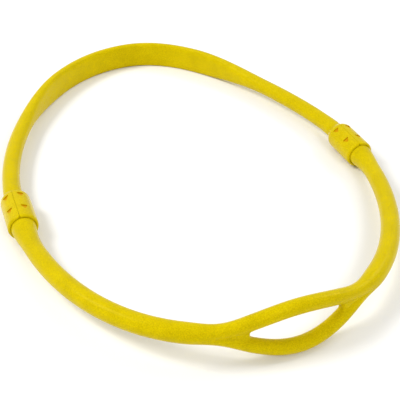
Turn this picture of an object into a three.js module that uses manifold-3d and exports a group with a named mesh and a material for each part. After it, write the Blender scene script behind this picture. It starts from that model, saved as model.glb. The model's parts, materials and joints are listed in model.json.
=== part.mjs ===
// Neck strap for a diver's spare breathing regulator: an oval loop of soft silicone in two lengths.
// The rear length carries a flat pad for the nape, standing on edge. The front length splits into
// two arms that form an eye, which is stretched over a mouthpiece. Two barrel couplings join them.
// Each barrel is a pair of half shells that snap round a bead on the neck strap, and a plug on the
// front strap pulls out of it when the strap is tugged.
// Millimetres. +X right, +Y toward the nape, +Z up, resting on z = 0.
import * as THREE from "three";
import { mergeVertices } from "three/addons/utils/BufferGeometryUtils.js";
import Module from "manifold-3d";

const wasm = await Module();
wasm.setup();

// Driving dimensions: the round silicone section sets the rest of the loop
const STRAP_D = 8;
const STRAP_R = STRAP_D / 2;
const GAP = 0.3;

// The loop in plan, measured from the line between the two couplings. A soft strap never lies quite
// evenly, so each handle of the curve has its own length on the left and on the right.
const COUPLING_X = 10.29 * STRAP_D;
const NAPE_X = 0.98 * STRAP_D;
const NAPE_Y = 17.14 * STRAP_D;
const EYE_X = -0.26 * STRAP_D;
const EYE_Y = -13.66 * STRAP_D;
const STRAIGHT = 1.5 * STRAP_D;
const NAPE_REACH = { left: 6.84 * STRAP_D, right: 5.9 * STRAP_D };
const REAR_REACH = { left: 5.39 * STRAP_D, right: 3 * STRAP_D };
const FRONT_REACH = { left: 2 * STRAP_D, right: 2 * STRAP_D };
const EYE_REACH = { left: 9.03 * STRAP_D, right: 8.09 * STRAP_D };
const STRAP_Z = 0.89 * STRAP_D;
const EYE_Z = 1.61 * STRAP_D;

// Nape pad: a strip on edge, whose lower edge rests on the table
const PAD_T = 0.58 * STRAP_D;
const PAD_FULL = 6.2 * STRAP_D;
const PAD_END = 12.9 * STRAP_D;
const ROUND_POWER = 2;
const PAD_POWER = 3.4;

// Eye: two thin arms that part on a plane leaning in toward the neck, laid a little to the right
const ARM_R = 0.39 * STRAP_D;
const ARM_SPREAD = 1.01 * STRAP_D;
const ARM_DROP = 0.228 * STRAP_D;
const EYE_HALF = 5 * STRAP_D;
const EYE_LEAN = THREE.MathUtils.degToRad(78);
const CROTCH = 2.2 * STRAP_D;
const EYE_SHIFT = 0.2 * STRAP_D;
const WEB_HALF_WIDTH = 0.7 * ARM_R;
const WEB_RISE = 0.6 * ARM_R;

// Barrel shells, along the coupling's axis from mouth to shoulder
const SHELL_R = 0.84 * STRAP_D;
const MOUTH_Y = -11.4;
const LIP_Y = -10.4;
const LIP_R = 6;
const LIP_ROUND = 0.3;
const MOUTH_FLOOR = -8.8;
const CHAMBER_FRONT = -6.4;
const CHAMBER_REAR = -0.6;
const POCKET_FRONT = 0.6;
const POCKET_REAR = 8.1;
const SHOULDER_Y = 8.6;
const SHOULDER_ROUND = 0.6;
const SHOULDER_DROP = 0.25;
const SHOULDER_RUN = 2.8;
const TAIL_Y = 12.6;
const TAIL_R = 4.9;
const REAR_BORE_R = STRAP_R + GAP;
const POCKET_R = 5.3;
const CHAMBER_R = 4.9;
const SOCKET_R = 4.4;
const MOUTH_BORE_R = 5.5;
const SEAM_NOTCH_R = 0.6;
const RECESS_ROWS = [5.5, -4.4];
const RECESS_TURNS = [30, 150, 210, 330];
const RECESS_BASE = 3.6;
const RECESS_LENGTH = 2.9;
const RECESS_DEPTH = 0.95;
const BARREL_TURN = -8;

// Strap ends: a bead inside the shells at the neck end, a trumpet at the front end
const BEAD_R = POCKET_R - GAP;
const BEAD_FRONT = 3.5;
const BEAD_REAR = POCKET_REAR - GAP;
const TRUMPET_R = 0.65 * STRAP_D;
const TRUMPET_FACE = -10.1;
const TRUMPET_RUN = 2 * STRAP_D;
const NECK_FLARE = 0.28;
const NECK_RUN = 1.6 * STRAP_D;
const FLARE_POWER = 1.5;
const BEAD_EDGE = 0.5;
const BORE_OVERLAP = 1;

// Rigid inserts: barbed stems held in the silicone, a swivel disc and a snap bulb
const STEM_R = 1.5;
const BARB_R = 2.2;
const BARB_PITCH = 2.5;
const BARB_CREST = 0.4;
const BARB_BACK = 1.4;
const BARBS = 3;
const ROOT_OVERLAP = 0.5;
const DISC_R = 4.9;
const DISC_EDGE = 0.4;
const BULB_R = 4.1;
const BULB_TIP_R = 1.8;
const BULB_EASE = 0.8;
const BULB_ROUND = 2;
const WAIST_R = 3;
const COLLAR_R = 5;

const SIDES = 16;
const ARM_SIDES = 12;
const TURN_STEPS = 24;
const STEP = 5.5;

const SILICONE = 0xd9c207;
const SHELL_PLASTIC = 0xdcc60c;
const PLUG_PLASTIC = 0xb89a1c;

const UP = new THREE.Vector3(0, 0, 1);

// ---- Solids -------------------------------------------------------------------------------

function solidOf(geometry) {
  const bare = geometry.index ? geometry.clone() : geometry;
  bare.deleteAttribute("normal");
  bare.deleteAttribute("uv");
  const merged = mergeVertices(bare, 1e-3);
  const mesh = new wasm.Mesh({
    numProp: 3,
    vertProperties: new Float32Array(merged.attributes.position.array),
    triVerts: new Uint32Array(merged.index.array),
  });
  mesh.merge();
  return new wasm.Manifold(mesh);
}

function geometryOf(solid) {
  const mesh = solid.getMesh();
  const geometry = new THREE.BufferGeometry();
  geometry.setAttribute("position", new THREE.BufferAttribute(mesh.vertProperties, 3));
  geometry.setIndex(new THREE.BufferAttribute(mesh.triVerts, 1));
  geometry.computeVertexNormals();
  return geometry;
}

// A profile of [radius, y] pairs turned about the Y axis
function turned(profile, steps = TURN_STEPS) {
  const points = profile.map(([r, y]) => new THREE.Vector2(r, y));
  return solidOf(new THREE.LatheGeometry(points, steps));
}

// A unit cylinder bent along a route; section(s) gives its half sizes, squareness and offset
function swept(route, from, to, sides, section) {
  const length = route.getLength();
  const steps = Math.round((to - from) / STEP);
  const flatEdge = Math.PI / sides;
  const geometry = new THREE.CylinderGeometry(1, 1, 1, sides, steps, false, flatEdge);
  const place = geometry.attributes.position;
  const reach = Math.cos(flatEdge);
  for (let i = 0; i < place.count; i += 1) {
    const s = from + (place.getY(i) + 0.5) * (to - from);
    const shape = section(s);
    const centre = route.getPointAt(THREE.MathUtils.clamp(s / length, 0, 1));
    const along = route.getTangentAt(THREE.MathUtils.clamp(s / length, 0, 1));
    const across = new THREE.Vector3().crossVectors(along, UP).normalize();
    const upright = new THREE.Vector3().crossVectors(across, along);
    const [x, z] = squared(place.getX(i) / reach, place.getZ(i) / reach, shape.power);
    const wide = x * shape.halfWidth;
    const high = z * shape.halfHeight;
    const lean = shape.lean ?? 0;
    centre.addScaledVector(across, wide * Math.cos(lean) - high * Math.sin(lean));
    centre.addScaledVector(upright, wide * Math.sin(lean) + high * Math.cos(lean));
    centre.addScaledVector(across, shape.offAcross ?? 0);
    centre.addScaledVector(UP, shape.offUp ?? 0);
    place.setXYZ(i, centre.x, centre.y, centre.z);
  }
  return solidOf(geometry);
}

// Moves a point of the unit circle out toward a square with round corners
function squared(x, z, power) {
  const bend = (value) => Math.sign(value) * Math.min(1, Math.abs(value)) ** (2 / power);
  return [bend(x), bend(z)];
}

const blend = THREE.MathUtils.lerp;
const ease = THREE.MathUtils.smoothstep;

// ---- Routes -------------------------------------------------------------------------------

const at = (x, y, z) => new THREE.Vector3(x, y, z);

function neckRoute() {
  const route = new THREE.CurvePath();
  const left = at(-COUPLING_X, STRAIGHT, STRAP_Z);
  const leftLead = at(-COUPLING_X, STRAIGHT + REAR_REACH.left, STRAP_Z);
  const nape = at(NAPE_X, NAPE_Y, STRAP_Z);
  const rightLead = at(COUPLING_X, STRAIGHT + REAR_REACH.right, STRAP_Z);
  const right = at(COUPLING_X, STRAIGHT, STRAP_Z);
  route.add(new THREE.LineCurve3(at(-COUPLING_X, BEAD_FRONT, STRAP_Z), left));
  route.add(new THREE.CubicBezierCurve3(
    left, leftLead, at(NAPE_X - NAPE_REACH.left, NAPE_Y, STRAP_Z), nape));
  route.add(new THREE.CubicBezierCurve3(
    nape, at(NAPE_X + NAPE_REACH.right, NAPE_Y, STRAP_Z), rightLead, right));
  route.add(new THREE.LineCurve3(right, at(COUPLING_X, BEAD_FRONT, STRAP_Z)));
  return route;
}

function frontRoute() {
  const route = new THREE.CurvePath();
  const left = at(-COUPLING_X, -STRAIGHT, STRAP_Z);
  const leftLead = at(-COUPLING_X, -STRAIGHT - FRONT_REACH.left, STRAP_Z);
  const eye = at(EYE_X, EYE_Y, EYE_Z);
  const rightLead = at(COUPLING_X, -STRAIGHT - FRONT_REACH.right, STRAP_Z);
  const right = at(COUPLING_X, -STRAIGHT, STRAP_Z);
  route.add(new THREE.LineCurve3(at(-COUPLING_X, TRUMPET_FACE, STRAP_Z), left));
  route.add(new THREE.CubicBezierCurve3(
    left, leftLead, at(EYE_X - EYE_REACH.left, EYE_Y, EYE_Z), eye));
  route.add(new THREE.CubicBezierCurve3(
    eye, at(EYE_X + EYE_REACH.right, EYE_Y, EYE_Z), rightLead, right));
  route.add(new THREE.LineCurve3(right, at(COUPLING_X, TRUMPET_FACE, STRAP_Z)));
  return route;
}

// ---- Neck strap ---------------------------------------------------------------------------

function neckStrap() {
  const route = neckRoute();
  const length = route.getLength();
  const tail = TAIL_Y - BEAD_FRONT;
  const strap = swept(route, 0, length, SIDES, (s) => {
    const fromNape = Math.abs(s - length / 2);
    const fromTail = Math.min(s, length - s) - tail;
    const round = ease(fromNape, PAD_FULL, PAD_END);
    const inShell = fromTail < 0 ? 0 : 1 - ease(fromTail, 0, NECK_RUN);
    const flare = NECK_FLARE * inShell;
    return {
      halfWidth: blend(PAD_T / 2, STRAP_R + flare, round),
      halfHeight: blend(STRAP_Z, STRAP_R + flare, round),
      power: blend(PAD_POWER, ROUND_POWER, round),
    };
  });
  return strap;
}

// A bead turned on each end of the neck strap, bored for the anchor's stem
function neckStrapWithBeads() {
  let strap = neckStrap();
  const bead = turned([
    [0, BEAD_FRONT], [BEAD_R - BEAD_EDGE, BEAD_FRONT], [BEAD_R, BEAD_FRONT + BEAD_EDGE],
    [BEAD_R, BEAD_REAR - BEAD_EDGE], [BEAD_R - BEAD_EDGE, BEAD_REAR], [0, BEAD_REAR]]);
  const bore = turned(stemProfile(BEAD_FRONT - BORE_OVERLAP, 1, GAP), TURN_STEPS / 2);
  for (const x of [-COUPLING_X, COUPLING_X]) {
    strap = strap.add(bead.translate([x, 0, STRAP_Z]));
    strap = strap.subtract(bore.translate([x, 0, STRAP_Z]));
  }
  return strap;
}

// ---- Front strap with the eye ---------------------------------------------------------------

function frontStrap() {
  const route = frontRoute();
  const length = route.getLength();
  const middle = length / 2 + EYE_SHIFT;
  const parting = (s) => {
    const reach = Math.min(1, Math.abs(s - middle) / EYE_HALF);
    return Math.cos(reach * Math.PI / 2) ** 2;
  };
  const rootSection = (s) => {
    const fromEnd = Math.min(s, length - s);
    const flare = (TRUMPET_R - STRAP_R) * Math.max(0, 1 - fromEnd / TRUMPET_RUN) ** FLARE_POWER;
    const part = parting(s);
    const web = part / parting(middle + CROTCH);
    return {
      halfWidth: blend(STRAP_R + flare, WEB_HALF_WIDTH, web),
      halfHeight: blend(STRAP_R + flare, ARM_SPREAD * part + WEB_RISE, web),
      power: ROUND_POWER,
      lean: Math.PI / 2 - EYE_LEAN,
      offUp: -ARM_DROP * part,
    };
  };
  const armSection = (sign) => (s) => {
    const part = parting(s);
    return {
      halfWidth: ARM_R,
      halfHeight: ARM_R,
      power: ROUND_POWER,
      offAcross: -sign * ARM_SPREAD * Math.cos(EYE_LEAN) * part,
      offUp: (sign * ARM_SPREAD * Math.sin(EYE_LEAN) - ARM_DROP) * part,
    };
  };
  let strap = swept(route, 0, middle - CROTCH, SIDES, rootSection);
  strap = strap.add(swept(route, middle + CROTCH, length, SIDES, rootSection));
  for (const sign of [1, -1]) {
    const arm = swept(route, middle - EYE_HALF, middle + EYE_HALF, ARM_SIDES, armSection(sign));
    strap = strap.add(arm);
  }
  const bore = turned(stemProfile(TRUMPET_FACE + BORE_OVERLAP, -1, GAP), TURN_STEPS / 2);
  for (const x of [-COUPLING_X, COUPLING_X]) {
    strap = strap.subtract(bore.translate([x, 0, STRAP_Z]));
  }
  return strap;
}

// ---- Rigid inserts --------------------------------------------------------------------------

// Barbed stem profile from its root toward +Y or -Y, grown by room all round
function stemProfile(root, toward, room) {
  const points = [[0, root - toward * room], [STEM_R + room, root - toward * room]];
  for (let i = 1; i <= BARBS; i += 1) {
    const y = root + toward * i * BARB_PITCH;
    points.push([STEM_R + room, y - toward * room]);
    points.push([BARB_R + room, y - toward * room]);
    points.push([BARB_R + room, y + toward * BARB_CREST]);
    points.push([STEM_R + room, y + toward * (BARB_BACK + room)]);
  }
  points.push([0, root + toward * (BARBS * BARB_PITCH + BARB_BACK + room)]);
  return toward > 0 ? points : points.reverse();
}

// Anchor: the disc that turns in the barrel's pocket, with its stem up the neck strap's bead
function anchor() {
  const front = POCKET_FRONT + GAP;
  const rear = BEAD_FRONT - GAP;
  const disc = turned([
    [0, front], [DISC_R - DISC_EDGE, front], [DISC_R, front + DISC_EDGE],
    [DISC_R, rear - DISC_EDGE], [DISC_R - DISC_EDGE, rear], [0, rear]]);
  const stem = turned(stemProfile(rear - ROOT_OVERLAP, 1, 0), TURN_STEPS / 2);
  return disc.add(stem);
}

// Plug: the snap bulb, its waist, the collar on the trumpet's face and the stem inside it
function plug() {
  const tip = CHAMBER_REAR - GAP;
  const bulbFront = CHAMBER_FRONT + 2 * GAP;
  const collarRear = MOUTH_FLOOR - GAP;
  const collarFront = TRUMPET_FACE + GAP;
  const body = turned([
    [0, collarFront], [COLLAR_R, collarFront], [COLLAR_R, collarRear], [WAIST_R, collarRear],
    [WAIST_R, bulbFront - BULB_EASE], [BULB_R - GAP, bulbFront], [BULB_R, bulbFront + BULB_EASE],
    [BULB_R, tip - BULB_ROUND], [WAIST_R, tip - BULB_EASE], [BULB_TIP_R, tip], [0, tip]]);
  const stem = turned(stemProfile(collarFront + ROOT_OVERLAP, -1, 0), TURN_STEPS / 2);
  return body.add(stem);
}

// ---- Barrel half shells ---------------------------------------------------------------------

function barrel() {
  return turned([
    [MOUTH_BORE_R, MOUTH_Y + LIP_ROUND], [LIP_R, MOUTH_Y],
    [SHELL_R - LIP_ROUND, LIP_Y - LIP_ROUND], [SHELL_R, LIP_Y],
    [SHELL_R, SHOULDER_Y - SHOULDER_ROUND], [SHELL_R - SHOULDER_DROP, SHOULDER_Y],
    [TAIL_R + SHOULDER_DROP, SHOULDER_Y + SHOULDER_RUN], [TAIL_R, TAIL_Y], [REAR_BORE_R, TAIL_Y],
    [REAR_BORE_R, POCKET_REAR], [POCKET_R, POCKET_REAR], [POCKET_R, POCKET_FRONT],
    [SOCKET_R, POCKET_FRONT], [SOCKET_R, CHAMBER_REAR], [CHAMBER_R, CHAMBER_REAR],
    [CHAMBER_R, CHAMBER_FRONT + (CHAMBER_R - SOCKET_R)], [SOCKET_R, CHAMBER_FRONT],
    [SOCKET_R, MOUTH_FLOOR], [MOUTH_BORE_R, MOUTH_FLOOR], [MOUTH_BORE_R, MOUTH_Y + LIP_ROUND]]);
}

// Triangular recesses, base to the rear and point toward the mouth, a pair either side of each seam
function recesses() {
  const outline = new THREE.Shape();
  outline.moveTo(-RECESS_BASE / 2, RECESS_LENGTH / 2);
  outline.lineTo(0, -RECESS_LENGTH / 2);
  outline.lineTo(RECESS_BASE / 2, RECESS_LENGTH / 2);
  const cutter = new THREE.ExtrudeGeometry(outline, { depth: 2 * RECESS_DEPTH, bevelEnabled: false });
  cutter.translate(0, 0, SHELL_R - RECESS_DEPTH);
  const cuts = [];
  for (const row of RECESS_ROWS) {
    for (const degrees of RECESS_TURNS) {
      const turn = THREE.MathUtils.degToRad(degrees);
      cuts.push(solidOf(cutter.clone().rotateY(turn).translate(0, row, 0)));
    }
  }
  return cuts;
}

// Small notches where the two seams meet the mouth
function seamNotches() {
  const notch = new THREE.CylinderGeometry(SEAM_NOTCH_R, SEAM_NOTCH_R, 4 * SHELL_R, 8);
  notch.rotateX(Math.PI / 2);
  notch.translate(0, MOUTH_Y, 0);
  return solidOf(notch);
}

// The barrels turn freely on the anchors, and both have come to rest turned a little
function halfShells() {
  let shell = barrel();
  for (const cut of [...recesses(), seamNotches()]) {
    shell = shell.subtract(cut);
  }
  const half = new THREE.BoxGeometry(2 * SHELL_R, 4 * SHELL_R, 4 * SHELL_R);
  const offset = SHELL_R + GAP / 2;
  const left = solidOf(half.clone().translate(-offset, 0, 0));
  const right = solidOf(half.clone().translate(offset, 0, 0));
  const turn = [0, BARREL_TURN, 0];
  return { left: shell.intersect(left).rotate(turn), right: shell.intersect(right).rotate(turn) };
}

// ---- Assembly -------------------------------------------------------------------------------

const necklace = new THREE.Group();

function place(name, solid, colour, roughness, x = 0, z = 0) {
  const material = new THREE.MeshStandardMaterial({ color: colour, roughness, metalness: 0 });
  const mesh = new THREE.Mesh(geometryOf(solid), material);
  mesh.name = name;
  mesh.position.set(x, 0, z);
  necklace.add(mesh);
}

place("neck_strap", neckStrapWithBeads(), SILICONE, 0.5);
place("front_strap", frontStrap(), SILICONE, 0.5);
const shells = halfShells();
for (const [side, x] of [["left", -COUPLING_X], ["right", COUPLING_X]]) {
  const outer = side === "left" ? shells.left : shells.right;
  const inner = side === "left" ? shells.right : shells.left;
  place(`${side}_outer_shell`, outer, SHELL_PLASTIC, 0.45, x, STRAP_Z);
  place(`${side}_inner_shell`, inner, SHELL_PLASTIC, 0.45, x, STRAP_Z);
  place(`${side}_anchor`, anchor(), PLUG_PLASTIC, 0.4, x, STRAP_Z);
  place(`${side}_plug`, plug(), PLUG_PLASTIC, 0.4, x, STRAP_Z);
}

// The origin is under the middle of the outline, on the table
const outline = new THREE.Box3().setFromObject(necklace);
necklace.position.set(0, -(outline.min.y + outline.max.y) / 2, -outline.min.z);

export default necklace;
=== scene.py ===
# A diver's regulator necklace: an oval of soft yellow silicone in two lengths, joined by two barrel
# couplings. The rear length widens into a pad for the nape, and the front one parts into an eye that
# grips a mouthpiece. It lies on a pale table, pad and eye both resting on it.
import json
import math
import bmesh
import bpy
from mathutils import Matrix, Vector
from mathutils.geometry import interpolate_bezier


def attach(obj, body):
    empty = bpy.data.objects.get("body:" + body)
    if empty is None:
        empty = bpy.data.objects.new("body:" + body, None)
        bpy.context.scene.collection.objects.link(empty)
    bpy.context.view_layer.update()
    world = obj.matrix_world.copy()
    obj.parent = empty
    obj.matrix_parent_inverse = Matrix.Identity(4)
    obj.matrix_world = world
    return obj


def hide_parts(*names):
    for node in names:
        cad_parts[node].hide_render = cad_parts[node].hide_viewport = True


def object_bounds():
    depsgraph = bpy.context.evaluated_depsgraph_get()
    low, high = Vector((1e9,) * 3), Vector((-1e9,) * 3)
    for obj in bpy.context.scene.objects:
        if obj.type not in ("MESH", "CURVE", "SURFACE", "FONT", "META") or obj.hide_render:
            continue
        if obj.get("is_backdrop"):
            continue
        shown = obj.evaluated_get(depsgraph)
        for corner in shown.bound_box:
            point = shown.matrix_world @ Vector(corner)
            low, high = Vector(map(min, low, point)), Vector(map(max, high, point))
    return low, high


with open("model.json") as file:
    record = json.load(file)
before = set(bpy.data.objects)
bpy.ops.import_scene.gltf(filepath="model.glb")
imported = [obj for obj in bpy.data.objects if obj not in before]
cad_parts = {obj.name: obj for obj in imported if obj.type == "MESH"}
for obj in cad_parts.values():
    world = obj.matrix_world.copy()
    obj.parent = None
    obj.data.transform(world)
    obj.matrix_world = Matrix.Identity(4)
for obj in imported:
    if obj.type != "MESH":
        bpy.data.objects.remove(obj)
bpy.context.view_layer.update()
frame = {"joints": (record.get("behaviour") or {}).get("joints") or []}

MM = 0.001

# ---- Camera --------------------------------------------------------------------------------------
# A portrait lens at standing height, looking down over the front of the loop toward the nape pad.
swivels = {joint["name"]: Vector(joint["pos_m"]) for joint in frame["joints"] if "pos_m" in joint}
left_coupling = swivels["left_barrel_swivel"]
right_coupling = swivels["right_barrel_swivel"]
middle = (left_coupling + right_coupling) / 2

camera_data = bpy.data.cameras.new("camera")
camera_data.lens = 70.6
camera_data.sensor_width = 36
camera = bpy.data.objects.new("camera", camera_data)
camera.location = (-106.5 * MM, middle.y - 287.0 * MM, 212.9 * MM)
look_down = math.radians(35.65)
look_aside = math.radians(20.86)
look = Vector((math.sin(look_aside), math.cos(look_aside), 0)) * math.cos(look_down)
look.z = -math.sin(look_down)
camera.rotation_mode = "QUATERNION"
camera.rotation_quaternion = look.to_track_quat("-Z", "Y")
bpy.context.scene.collection.objects.link(camera)
bpy.context.scene.camera = camera
bpy.context.scene.view_settings.view_transform = "Standard"


# ---- Silicone ------------------------------------------------------------------------------------
# Liquid silicone moulded in a satin steel tool: one deep yellow all through, faintly cloudy, with a
# skin that dulls in soft patches, fine lint pits and a hair-fine parting line round both lengths.
def cloudy_skin():
    """Group: a tone that drifts in patches of a given size and speckles finely, and the grain alone."""
    group = bpy.data.node_groups.new("cloudy skin", "ShaderNodeTree")
    size = group.interface.new_socket("Patch size", in_out="INPUT", socket_type="NodeSocketFloat")
    size.default_value = 0.006
    group.interface.new_socket("Tone", in_out="OUTPUT", socket_type="NodeSocketFloat")
    group.interface.new_socket("Grain", in_out="OUTPUT", socket_type="NodeSocketFloat")
    inlet = group.nodes.new("NodeGroupInput")
    outlet = group.nodes.new("NodeGroupOutput")
    place = group.nodes.new("ShaderNodeTexCoord")
    per_metre = group.nodes.new("ShaderNodeMath")
    per_metre.operation = "DIVIDE"
    per_metre.inputs[0].default_value = 1.0
    group.links.new(inlet.outputs["Patch size"], per_metre.inputs[1])
    patches = group.nodes.new("ShaderNodeTexNoise")
    patches.inputs["Detail"].default_value = 4.0
    patches.inputs["Roughness"].default_value = 0.6
    group.links.new(place.outputs["Object"], patches.inputs["Vector"])
    group.links.new(per_metre.outputs[0], patches.inputs["Scale"])
    grain = group.nodes.new("ShaderNodeTexNoise")
    grain.inputs["Scale"].default_value = 2100.0
    grain.inputs["Detail"].default_value = 3.0
    group.links.new(place.outputs["Object"], grain.inputs["Vector"])
    group.links.new(grain.outputs["Fac"], outlet.inputs["Grain"])
    tone = group.nodes.new("ShaderNodeMix")
    tone.data_type = "FLOAT"
    tone.inputs["Factor"].default_value = 0.72
    group.links.new(patches.outputs["Fac"], tone.inputs["A"])
    group.links.new(grain.outputs["Fac"], tone.inputs["B"])
    group.links.new(tone.outputs["Result"], outlet.inputs["Tone"])
    return group


skin = cloudy_skin()


def moulded(name, deep, pale, dull, bright, patch, grain_height, soft, gloss, parting=False, recess_shade=None):
    """A moulded material: its two colours and two roughnesses mix by the cloudy skin. With a recess
    shade colour, the piece's recess attribute turns its recess floors that colour: painted shade for the
    hollows."""
    material = bpy.data.materials.new(name)
    material.use_nodes = True
    nodes, links = material.node_tree.nodes, material.node_tree.links
    shader = nodes["Principled BSDF"]
    clouds = nodes.new("ShaderNodeGroup")
    clouds.node_tree = skin
    clouds.inputs["Patch size"].default_value = patch
    tint = nodes.new("ShaderNodeValToRGB")
    tint.color_ramp.elements[0].position = 0.36
    tint.color_ramp.elements[0].color = (*deep, 1)
    tint.color_ramp.elements[1].position = 0.64
    tint.color_ramp.elements[1].color = (*pale, 1)
    links.new(clouds.outputs["Tone"], tint.inputs["Fac"])
    colour = tint.outputs["Color"]
    # The recess floors are painted a deeper orange: painted shade standing in for the shade inside the
    # recesses, not a colour of the material.
    if recess_shade:
        recess = nodes.new("ShaderNodeAttribute")
        recess.attribute_name = "recess"
        painted_shade_mix = nodes.new("ShaderNodeMix")
        painted_shade_mix.data_type = "RGBA"
        painted_shade_mix.inputs["B"].default_value = (*recess_shade, 1)
        links.new(recess.outputs["Fac"], painted_shade_mix.inputs["Factor"])
        links.new(colour, painted_shade_mix.inputs["A"])
        colour = painted_shade_mix.outputs["Result"]
    links.new(colour, shader.inputs["Base Color"])
    rough = nodes.new("ShaderNodeMapRange")
    rough.inputs["From Min"].default_value = 0.38
    rough.inputs["From Max"].default_value = 0.62
    rough.inputs["To Min"].default_value = dull
    rough.inputs["To Max"].default_value = bright
    links.new(clouds.outputs["Tone"], rough.inputs["Value"])
    links.new(rough.outputs["Result"], shader.inputs["Roughness"])
    height = clouds.outputs["Grain"]
    if parting:
        line = nodes.new("ShaderNodeAttribute")
        line.attribute_name = "parting"
        ridge = nodes.new("ShaderNodeMapRange")
        ridge.interpolation_type = "SMOOTHSTEP"
        ridge.inputs["From Min"].default_value = 0.0
        ridge.inputs["From Max"].default_value = 0.22 * MM
        ridge.inputs["To Min"].default_value = 3.0
        ridge.inputs["To Max"].default_value = 0.0
        links.new(line.outputs["Fac"], ridge.inputs["Value"])
        both = nodes.new("ShaderNodeMath")
        both.operation = "ADD"
        links.new(height, both.inputs[0])
        links.new(ridge.outputs["Result"], both.inputs[1])
        height = both.outputs[0]
    bump = nodes.new("ShaderNodeBump")
    bump.inputs["Strength"].default_value = 1.0
    bump.inputs["Distance"].default_value = grain_height
    links.new(height, bump.inputs["Height"])
    links.new(bump.outputs["Normal"], shader.inputs["Normal"])
    shader.inputs["IOR"].default_value = 1.41
    shader.inputs["Specular IOR Level"].default_value = gloss
    shader.inputs["Specular Tint"].default_value = (1.0, 0.86, 0.08, 1)
    shader.inputs["Subsurface Weight"].default_value = soft
    shader.inputs["Subsurface Radius"].default_value = (1.0, 0.7, 0.1)
    shader.inputs["Subsurface Scale"].default_value = 1.5 * MM
    return material


silicone = moulded("yellow silicone", (0.51, 0.388, 0.001), (0.70, 0.542, 0.002), 0.32, 0.24,
                   7 * MM, 0.010 * MM, 0.15, 0.1, parting=True)


# ---- The loop's two routes -----------------------------------------------------------------------
# Both lengths follow one smooth oval that the strap takes by its own spring when it is laid down.
# Each route starts and ends straight, on a coupling's axis, and is measured by its own length.
STRAP_R = 4 * MM
BEND = 12 * MM
STRETCH_POINTS = 400


class Route:
    """A curve through bezier stretches, read by the distance along it."""

    def __init__(self, *stretches):
        self.points = []
        for stretch in stretches:
            fine = interpolate_bezier(*[Vector(knot) for knot in stretch], STRETCH_POINTS)
            self.points += fine if not self.points else fine[1:]
        self.reach = [0.0]
        for before, after in zip(self.points, self.points[1:]):
            self.reach.append(self.reach[-1] + (after - before).length)
        self.length = self.reach[-1]

    def at(self, s):
        """The point at s, and the directions along, across and up there."""
        s = min(max(s, 0.0), self.length)
        low, high = 0, len(self.reach) - 1
        while high - low > 1:
            half = (low + high) // 2
            low, high = (half, high) if self.reach[half] <= s else (low, half)
        share = (s - self.reach[low]) / (self.reach[high] - self.reach[low])
        point = self.points[low].lerp(self.points[high], share)
        before = self.points[max(low - 2, 0)]
        after = self.points[min(high + 2, len(self.points) - 1)]
        along = (after - before).normalized()
        across = along.cross(Vector((0, 0, 1))).normalized()
        return point, along, across, across.cross(along)


def ease(value, start, end):
    """0 before start, 1 after end, and a smooth step between them."""
    t = min(max((value - start) / (end - start), 0.0), 1.0)
    return t * t * (3 - 2 * t)


def oval_route(end_y, bend_y, leads, apex, reaches):
    """Left coupling, round the apex, right coupling. Leads and reaches are the handles of the curve,
    left then right."""
    far = Vector((apex[0], middle.y + apex[1], apex[2]))

    def on_axis(side, y):
        return Vector((side * right_coupling.x, middle.y + y, middle.z))

    ends = []
    for side, lead, reach in zip((-1, 1), leads, reaches):
        start, bend = on_axis(side, end_y), on_axis(side, bend_y)
        straight = (start, start.lerp(bend, 1 / 3), start.lerp(bend, 2 / 3), bend)
        bow = (bend, on_axis(side, bend_y + lead), far + Vector((side * reach, 0, 0)), far)
        ends.append((straight, bow))
    (left_end, left_bow), (right_end, right_bow) = ends
    return Route(left_end, left_bow, right_bow[::-1], right_end[::-1])


def straight_tube(around, rings):
    """An open tube of radius 1 round the Y axis, its rings one unit apart."""
    tube = bmesh.new()
    bmesh.ops.create_circle(tube, cap_ends=False, segments=around, radius=1.0)
    bmesh.ops.rotate(tube, verts=tube.verts[:], cent=(0, 0, 0), matrix=Matrix.Rotation(math.pi / 2, 3, "X"))
    rim = tube.edges[:]
    for _ in range(rings - 1):
        grown = bmesh.ops.extrude_edge_only(tube, edges=rim)["geom"]
        rim = [part for part in grown if isinstance(part, bmesh.types.BMEdge)]
        ring = [part for part in grown if isinstance(part, bmesh.types.BMVert)]
        bmesh.ops.translate(tube, verts=ring, vec=(0, 1, 0))
    return tube


def finished(name, mesh, material, level=0):
    """Closes the mesh's ends, turns its faces outward and makes it an object."""
    bmesh.ops.holes_fill(mesh, edges=mesh.edges[:], sides=0)
    bmesh.ops.recalc_face_normals(mesh, faces=mesh.faces[:])
    for face in mesh.faces:
        face.smooth = True
    data = bpy.data.meshes.new(name)
    mesh.to_mesh(data)
    mesh.free()
    data.materials.append(material)
    piece = bpy.data.objects.new(name, data)
    bpy.context.scene.collection.objects.link(piece)
    if level:
        fine = piece.modifiers.new("fine surface", "SUBSURF")
        fine.levels = level
        fine.render_levels = level
    return piece


# ---- Neck strap ----------------------------------------------------------------------------------
# The rear length, moulded in one piece: round at its ends, it flattens into a strip standing on edge
# behind the neck. Each end is a bead that the barrel closes round, bored for the anchor's stem.
PAD_HEIGHT = 2 * middle.z
PAD_THICK = 4.64 * MM
PAD_FULL = 49.6 * MM
PAD_END = 103.2 * MM
PAD_SQUARE = 3.6
ROUND = 2
BEAD_FACE = 3.5 * MM
BEAD_R = 5 * MM
BORE_R = 2.4 * MM
TAIL = 12.6 * MM
TAIL_FLARE = 0.28 * MM
TAIL_RUN = 13 * MM
PLAIN_START = 8.6 * MM
PLAIN_STEPS = 104
AROUND = 24

nape = (7.84 * MM, 137.12 * MM, middle.z)
neck_route = oval_route(BEAD_FACE, BEND, (43.1 * MM, 24 * MM), nape, (54.7 * MM, 47.2 * MM))

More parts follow.
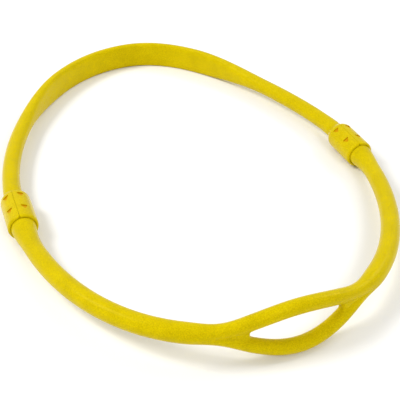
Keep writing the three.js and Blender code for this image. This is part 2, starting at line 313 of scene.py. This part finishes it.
# Rings at one end, as distance from the bead's face and radius: up the bore, then over the bead
bead_rings = [(9.5 * MM, 0.6 * MM), (9.8 * MM, BORE_R * 0.8), (9.2 * MM, BORE_R), (1.2 * MM, BORE_R),
              (0.3 * MM, 1.9 * MM), (0, 2.1 * MM), (0, 4.3 * MM), (0.1 * MM, 4.75 * MM),
              (0.5 * MM, BEAD_R), (1.0 * MM, BEAD_R), (3.4 * MM, BEAD_R), (3.9 * MM, BEAD_R - 0.1 * MM),
              (4.25 * MM, 4.5 * MM), (4.4 * MM, STRAP_R), (4.9 * MM, STRAP_R), (7.5 * MM, STRAP_R)]
plain_length = neck_route.length - 2 * PLAIN_START
neck_rings = list(bead_rings)
for step in range(PLAIN_STEPS + 1):
    neck_rings.append((PLAIN_START + plain_length * step / PLAIN_STEPS, None))
neck_rings += [(neck_route.length - s, r) for s, r in reversed(bead_rings)]


def ring_gain(corners):
    """How much larger a ring of so many corners has to be for its smoothed surface to be full size."""
    return 3 / (2 + math.cos(2 * math.pi / corners))


def squared(value, power):
    """Moves a cosine or sine out toward a square with round corners."""
    return math.copysign(abs(value) ** (2 / power), value)


round_up = ring_gain(AROUND)


def neck_section(s):
    """Half width, half height and squareness of the neck strap at s."""
    from_nape = abs(s - neck_route.length / 2)
    from_tail = min(s, neck_route.length - s) - (TAIL - BEAD_FACE)
    flare = TAIL_FLARE * (1 - ease(from_tail, 0.0, TAIL_RUN)) if from_tail > 0 else 0.0
    rounded = ease(from_nape, PAD_FULL, PAD_END)
    wide = PAD_THICK / 2 + (STRAP_R * round_up + flare - PAD_THICK / 2) * rounded
    high = PAD_HEIGHT / 2 + (STRAP_R * round_up + flare - PAD_HEIGHT / 2) * rounded
    return wide, high, PAD_SQUARE + (ROUND - PAD_SQUARE) * rounded


neck = straight_tube(AROUND, len(neck_rings))
parting = neck.verts.layers.float.new("parting")
for vertex in neck.verts:
    s, radius = neck_rings[round(vertex.co.y)]
    wide, high, power = neck_section(s)
    if radius is not None:
        wide, high, power = radius * round_up, radius * round_up, ROUND
    point, along, across, upright = neck_route.at(s)
    x = squared(vertex.co.x, power) * wide
    z = squared(vertex.co.z, power) * high
    vertex[parting] = abs(z)
    vertex.co = point + across * x + upright * z
neck_strap = finished("neck_strap_silicone", neck, silicone, level=2)
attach(neck_strap, "neck")
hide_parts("neck_strap")

# ---- Front strap ---------------------------------------------------------------------------------
# The front length, moulded in one piece: a trumpet at each end that seats in a barrel's mouth, and
# in front the eye, where the strap parts into two thin arms, one above and one below, that close
# again in pointed, slightly dished webs.
TRUMPET_FACE = 10.1 * MM
TRUMPET_R = 5.43 * MM
TRUMPET_RUN = 15 * MM
TRUMPET_CURVE = 1.5
SEATED = 1.9 * MM
LEAD_IN = 1.4 * MM
STRAP_STEP = 2.8 * MM
ARM_R = 3.03 * MM
ARM_SPREAD = 8.08 * MM
ARM_DROP = 1.82 * MM
EYE_HALF = 40 * MM
EYE_Z = 12.88 * MM
EYE_SHIFT = 1.6 * MM
EYE_STEP = 2.6 * MM
EYE_LEAN = math.radians(12)
LEAN_RISE = 4
CROTCH = 18.9 * MM
WEB_R = 1.9 * MM
WEB_END = EYE_HALF + 2 * MM
HALVES_APART = 0.25 * MM

eye = (-2.08 * MM, -109.28 * MM, EYE_Z)
front_route = oval_route(-TRUMPET_FACE, -BEND, (-16 * MM, -16 * MM), eye, (72.2 * MM, 64.7 * MM))
eye_middle = front_route.length / 2 + EYE_SHIFT

# Rings at one end, as distance from the trumpet's face and radius: up the bore, then over the lip
trumpet_rings = [(9.5 * MM, 0.6 * MM), (9.8 * MM, BORE_R * 0.8), (9.2 * MM, BORE_R), (1.2 * MM, BORE_R),
                 (0.3 * MM, 1.9 * MM), (0, 2.1 * MM), (0, 4.7 * MM), (0.08 * MM, 5.1 * MM),
                 (0.35 * MM, TRUMPET_R - 0.04 * MM)]
front_rings = list(trumpet_rings)


def spaced(start, end, step):
    """Evenly spaced distances from start to end, both included."""
    count = round((end - start) / step)
    return [start + (end - start) * k / count for k in range(count + 1)]


left_crotch, right_crotch = eye_middle - CROTCH, eye_middle + CROTCH
front_rings += [(s, None) for s in spaced(LEAD_IN, left_crotch, STRAP_STEP)]
first_web = len(front_rings) - 1
front_rings += [(s, None) for s in spaced(left_crotch, right_crotch, EYE_STEP)[1:]]
last_web = len(front_rings) - 1
front_rings += [(s, None) for s in spaced(right_crotch, front_route.length - LEAD_IN, STRAP_STEP)[1:]]
front_rings += [(front_route.length - s, r) for s, r in reversed(trumpet_rings)]

# On the straight tube of radius 1: beyond WALL is the tube's own wall, within MERIDIAN of the middle
# height is a face next to the side line, and LEVEL tells a point above or below from one on it.
WALL = 0.9
MERIDIAN = 0.2
LEVEL = 0.01
front = straight_tube(AROUND, len(front_rings))


def side_faces(mesh, side):
    """The faces on either side of the tube's side meridian, along the eye."""
    picked = []
    for face in mesh.faces:
        centre = face.calc_center_median()
        on_side = side * centre.x > WALL and abs(centre.z) < MERIDIAN
        if on_side and first_web < centre.y < last_web:
            picked.append(face)
    return picked


# The eye is opened by taking a lens of faces from each side of the tube and bridging the two rims
rims = []
for side in (-1, 1):
    bmesh.ops.delete(front, geom=side_faces(front, side), context="FACES")
    for edge in front.edges:
        centre = (edge.verts[0].co + edge.verts[1].co) / 2
        if edge.is_boundary and side * centre.x > WALL and first_web - 0.5 < centre.y < last_web + 0.5:
            rims.append(edge)
bridged = bmesh.ops.bridge_loops(front, edges=rims)
cross = [edge for edge in bridged["edges"] if abs(edge.verts[0].co.x - edge.verts[1].co.x) > WALL]
bmesh.ops.subdivide_edges(front, edges=cross, cuts=1, use_grid_fill=True)

arm_round_up = ring_gain(AROUND / 2)
parting = front.verts.layers.float.new("parting")
for vertex in front.verts:
    s, radius = front_rings[round(vertex.co.y)]
    from_eye = s - eye_middle
    reach = min(1.0, abs(from_eye) / EYE_HALF)
    part = math.cos(reach * math.pi / 2) ** 2
    from_end = min(s, front_route.length - s)
    past_lip = max(0.0, from_end - SEATED)
    flare = (TRUMPET_R - STRAP_R) * max(0.0, 1 - past_lip / TRUMPET_RUN) ** TRUMPET_CURVE
    whole = (STRAP_R + flare if radius is None else radius) * round_up
    split = 1 - ease(abs(from_eye), CROTCH, WEB_END)
    x, z = vertex.co.x, vertex.co.z
    inside = math.hypot(x, z) < WALL
    upper = 1 if z > LEVEL else -1 if z < -LEVEL else 0
    off = ARM_SPREAD * part
    if upper:
        turn = -math.pi / 2 if inside else 2 * math.atan2(abs(z), x) - math.pi / 2
        arm_x = ARM_R * arm_round_up * math.cos(turn)
        arm_z = off + ARM_R * arm_round_up * math.sin(turn)
        wide = whole * x * (1 - split) + arm_x * split
        high = whole * abs(z) * (1 - split) + arm_z * split
        high = max(high, HALVES_APART) * upper
    else:
        wide = 0.0 if inside else math.copysign(whole * (1 - split) + WEB_R * split, x)
        high = 0.0
    point, along, across, upright = front_route.at(s)
    lean = EYE_LEAN * min(1.0, part * LEAN_RISE)
    vertex[parting] = abs(wide) if part > 0 else abs(high)
    place = point + across * (wide * math.cos(lean) - high * math.sin(lean))
    place += upright * (wide * math.sin(lean) + high * math.cos(lean) - ARM_DROP * part)
    vertex.co = place
front_strap = finished("front_strap_silicone", front, silicone, level=2)
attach(front_strap, "front")
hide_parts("front_strap")


# ---- Anchors and plugs ---------------------------------------------------------------------------
# Turned-looking nylon mouldings. An anchor is a disc that spins in the barrel's pocket, with a barbed
# stem up the neck strap's bead. A plug has the bulb that snaps into the barrel, a waist, a collar that
# backs the trumpet, and the same barbed stem.
nylon = moulded("amber nylon", (0.50, 0.33, 0.012), (0.60, 0.41, 0.02), 0.26, 0.18,
                4 * MM, 0.005 * MM, 0.1, 0.5)
STEM_R = 1.5 * MM
BARB_R = 2.2 * MM
BARB_PITCH = 2.5 * MM
BARB_EDGE = 0.35 * MM
BARB_SLOPE = 1.4 * MM
BARBS = 3
TIP_R = 0.7 * MM


def stem_outline(root, toward):
    """Barbed stem from its root to its tip, as radius and distance along the axis."""
    outline = []
    for barb in range(1, BARBS + 1):
        y = root + toward * barb * BARB_PITCH
        outline += [(STEM_R, y), (BARB_R, y), (BARB_R - 0.05 * MM, y + toward * BARB_EDGE),
                    (STEM_R, y + toward * BARB_SLOPE)]
    tip = root + toward * (BARBS * BARB_PITCH + BARB_SLOPE)
    return outline[:-1] + [(TIP_R, tip), (0, tip)]


def turned(outline, steps=48):
    """A solid spun round the Y axis from an outline of radius and distance."""
    solid = bmesh.new()
    corners = [solid.verts.new((r, y, 0)) for r, y in outline]
    lines = [solid.edges.new(pair) for pair in zip(corners, corners[1:])]
    bmesh.ops.spin(solid, geom=corners + lines, cent=(0, 0, 0), axis=(0, 1, 0), dvec=(0, 0, 0),
                   angle=2 * math.pi, steps=steps, use_merge=True, use_duplicate=False)
    bmesh.ops.remove_doubles(solid, verts=solid.verts[:], dist=0.001 * MM)
    return solid


def softened(piece, width):
    """Rounds a hard piece's edges, as the mould leaves them."""
    edge = piece.modifiers.new("moulded edges", "BEVEL")
    edge.width = width
    edge.segments = 3
    edge.limit_method = "ANGLE"
    edge.angle_limit = math.radians(28)
    edge.harden_normals = True


# Outlines from the axis out and back, as radius and distance behind the coupling's middle
anchor_outline = [(0, 0.9 * MM), (3.4 * MM, 0.9 * MM), (3.6 * MM, 1.15 * MM), (4.9 * MM, 1.15 * MM),
                  (4.9 * MM, 3.2 * MM), (STEM_R, 3.2 * MM), *stem_outline(2.7 * MM, 1)]
plug_outline = [(0, -1.0 * MM), (1.2 * MM, -1.0 * MM), (2.4 * MM, -1.25 * MM), (3.5 * MM, -1.95 * MM),
                (4.1 * MM, -3.0 * MM), (4.1 * MM, -5.0 * MM), (3.8 * MM, -5.8 * MM), (3.0 * MM, -6.6 * MM),
                (3.0 * MM, -9.1 * MM), (5.0 * MM, -9.1 * MM), (5.0 * MM, -9.8 * MM),
                (STEM_R, -9.8 * MM), *stem_outline(-9.3 * MM, -1)]
for side, coupling in (("left", left_coupling), ("right", right_coupling)):
    for part, outline, body in (("anchor", anchor_outline, "neck"), ("plug", plug_outline, "front")):
        solid = turned(outline)
        bmesh.ops.translate(solid, verts=solid.verts[:], vec=coupling)
        piece = finished(f"{side}_{part}_nylon", solid, nylon)
        softened(piece, 0.15 * MM)
        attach(piece, body)
        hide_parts(f"{side}_{part}")


# ---- Barrel half shells --------------------------------------------------------------------------
# Each barrel is two half shells of satin plastic that close round the bead and the plug's bulb, with
# the seam along the top and the bottom. Shallow triangular recesses flank each seam in two rows, base
# to the rear, and the seams end in small notches at the mouth's full, round lip.
# The recess colour (0.62, 0.32, 0.002) is painted shade on the recess floors, not a colour of the plastic.
shell_plastic = moulded("yellow shell plastic", (0.53, 0.397, 0.001), (0.70, 0.542, 0.002), 0.26, 0.18,
                        5 * MM, 0.008 * MM, 0.08, 0.13, recess_shade=(0.62, 0.32, 0.002))
SHELL_R = 6.68 * MM
SEAM_HALF = 0.05 * MM
BARREL_TURN = math.radians(-8)
RECESS_ROWS = (5.5 * MM, -4.4 * MM)
RECESS_TURNS = (30, 150, 210, 330)
RECESS_BASE = 3.6 * MM
RECESS_LENGTH = 3.1 * MM
RECESS_DEPTH = 0.55 * MM
RECESS_CORNER = 0.7 * MM
NOTCH_R = 0.55 * MM
NOTCH_Y = -11.5 * MM
HAIR = 0.1 * MM

# The wall of a barrel in section, in millimetres from its axis and from the coupling's middle: round
# the lip, along the outside to the sloping shoulder, and back through the pockets of bead and bulb
shell_outline = [(5.46, -11.1), (5.52, -11.3), (5.75, -11.39), (6.05, -11.34), (6.32, -11.15), (6.52, -10.85),
                 (6.65, -10.4), (6.67, -9.9), (6.68, -9.3), (6.68, 7.6), (6.64, 8.2), (6.52, 8.8),
                 (6.2, 9.5), (5.75, 10.3), (5.3, 11.1), (4.95, 11.8), (4.7, 12.3), (4.5, 12.55),
                 (4.3, 12.5), (4.3, 8.1), (5.3, 8.1), (5.3, 0.6), (4.4, 0.6), (4.4, -0.6), (4.9, -0.6),
                 (4.9, -5.9), (4.4, -6.4), (4.4, -8.8), (5.46, -8.8), (5.46, -11.1)]


def shell_ring():
    """The whole barrel before it is split: the outline spun once round."""
    ring = turned([(r * MM, y * MM) for r, y in shell_outline], steps=96)
    bmesh.ops.recalc_face_normals(ring, faces=ring.faces[:])
    return ring


def recess_pin(turn, row):
    """A triangular core pin with round corners, standing out from a recess's floor."""
    pin = bmesh.new()
    rear, point = RECESS_LENGTH / 2, -RECESS_LENGTH / 2
    corners = [(-RECESS_BASE / 2, rear), (0, point), (RECESS_BASE / 2, rear)]
    foot = SHELL_R - RECESS_DEPTH
    base = pin.faces.new([pin.verts.new((x, y, foot)) for x, y in corners])
    tall = bmesh.ops.extrude_face_region(pin, geom=[base])["geom"]
    top = [part for part in tall if isinstance(part, bmesh.types.BMVert)]
    bmesh.ops.translate(pin, verts=top, vec=(0, 0, 2 * RECESS_DEPTH))
    upright = [e for e in pin.edges if abs(e.verts[0].co.z - e.verts[1].co.z) > RECESS_DEPTH]
    bmesh.ops.bevel(pin, geom=upright, offset=RECESS_CORNER, offset_type="OFFSET", affect="EDGES",
                    segments=4, profile=0.5, material=-1)
    bmesh.ops.recalc_face_normals(pin, faces=pin.faces[:])
    bmesh.ops.rotate(pin, verts=pin.verts[:], cent=(0, 0, 0), matrix=Matrix.Rotation(turn, 3, "Y"))
    bmesh.ops.translate(pin, verts=pin.verts[:], vec=(0, row, 0))
    return pin


def as_object(name, mesh):
    """Makes an object of a mesh as it is."""
    data = bpy.data.meshes.new(name)
    mesh.to_mesh(data)
    mesh.free()
    made = bpy.data.objects.new(name, data)
    bpy.context.scene.collection.objects.link(made)
    return made


def cored_barrel():
    """The whole barrel with its eight recesses and the mouth's two seam notches cut out."""
    whole = as_object("whole barrel", shell_ring())
    pins = []
    for row in RECESS_ROWS:
        for degrees in RECESS_TURNS:
            pins.append(as_object("recess pin", recess_pin(math.radians(degrees), row)))
    notch = bmesh.new()
    bmesh.ops.create_cone(notch, cap_ends=True, segments=24, radius1=NOTCH_R, radius2=NOTCH_R, depth=20 * MM)
    bmesh.ops.translate(notch, verts=notch.verts[:], vec=(0, NOTCH_Y, 0))
    pins.append(as_object("notch pin", notch))
    for pin in pins:
        cut = whole.modifiers.new("core", "BOOLEAN")
        cut.operation = "DIFFERENCE"
        cut.solver = "EXACT"
        cut.object = pin
    graph = bpy.context.evaluated_depsgraph_get()
    cored = bmesh.new()
    cored.from_object(whole, graph)
    for used in (whole, *pins):
        bpy.data.objects.remove(used)
    bmesh.ops.remove_doubles(cored, verts=cored.verts[:], dist=0.002 * MM)
    # Marks the recess floors, which the shell material paints a deeper orange as painted shade.
    rear, front = RECESS_ROWS[0] + RECESS_LENGTH / 2 + HAIR, RECESS_ROWS[1] - RECESS_LENGTH
    recess = cored.verts.layers.float.new("recess")
    for vertex in cored.verts:
        outward = math.hypot(vertex.co.x, vertex.co.z)
        sunk = SHELL_R - RECESS_DEPTH - HAIR < outward < SHELL_R - 2 * HAIR
        vertex[recess] = float(front < vertex.co.y < rear and sunk)
    return cored


barrel = cored_barrel()
at_rest = Matrix.Rotation(BARREL_TURN, 3, "Y")
for side, coupling in (("left", left_coupling), ("right", right_coupling)):
    for part, toward in (("outer", coupling.x), ("inner", -coupling.x)):
        half = barrel.copy()
        facing = math.copysign(1, toward)
        bmesh.ops.bisect_plane(half, geom=half.verts[:] + half.edges[:] + half.faces[:], dist=0.001 * MM,
                               plane_co=(facing * SEAM_HALF, 0, 0), plane_no=(facing, 0, 0), clear_inner=True)
        bmesh.ops.rotate(half, verts=half.verts[:], cent=(0, 0, 0), matrix=at_rest)
        bmesh.ops.translate(half, verts=half.verts[:], vec=coupling)
        piece = finished(f"{side}_{part}_shell_moulding", half, shell_plastic)
        softened(piece, 0.12 * MM)
        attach(piece, f"{side}_barrel")
        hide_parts(f"{side}_{part}_shell")
barrel.free()


# ---- Table and light -----------------------------------------------------------------------------
# A plain pale table top under a bright even sky, with three small soft lights high on the left, on the
# right and in front, which draw the highlights along the straps and on the barrels' lips.
floor = bmesh.new()
bmesh.ops.create_grid(floor, x_segments=1, y_segments=1, size=3)
table_top = as_object("table_top", floor)
table_paint = bpy.data.materials.new("pale table")
table_paint.use_nodes = True
table_shader = table_paint.node_tree.nodes["Principled BSDF"]
table_shader.inputs["Base Color"].default_value = (0.93, 0.93, 0.93, 1)
table_shader.inputs["Roughness"].default_value = 0.9
table_top.data.materials.append(table_paint)
table_top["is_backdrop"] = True


def soft_light(name, place, power, size):
    """A square studio light that faces the middle of the loop."""
    data = bpy.data.lights.new(name, "AREA")
    data.energy = power
    data.size = size
    lamp = bpy.data.objects.new(name, data)
    lamp.location = place
    lamp.rotation_mode = "QUATERNION"
    lamp.rotation_quaternion = (-Vector(place)).to_track_quat("-Z", "Y")
    bpy.context.scene.collection.objects.link(lamp)


soft_light("left behind", (-0.62, 0.22, 0.76), 5.4, 0.34)
soft_light("front", (0.1, -0.8, 0.7), 2.2, 0.3)
soft_light("right", (0.76, 0.1, 0.64), 2.0, 0.35)
world = bpy.data.worlds.new("studio")
world.use_nodes = True
world.node_tree.nodes["Background"].inputs["Color"].default_value = (1, 1, 1, 1)
world.node_tree.nodes["Background"].inputs["Strength"].default_value = 0.62
bpy.context.scene.world = world

low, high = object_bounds()
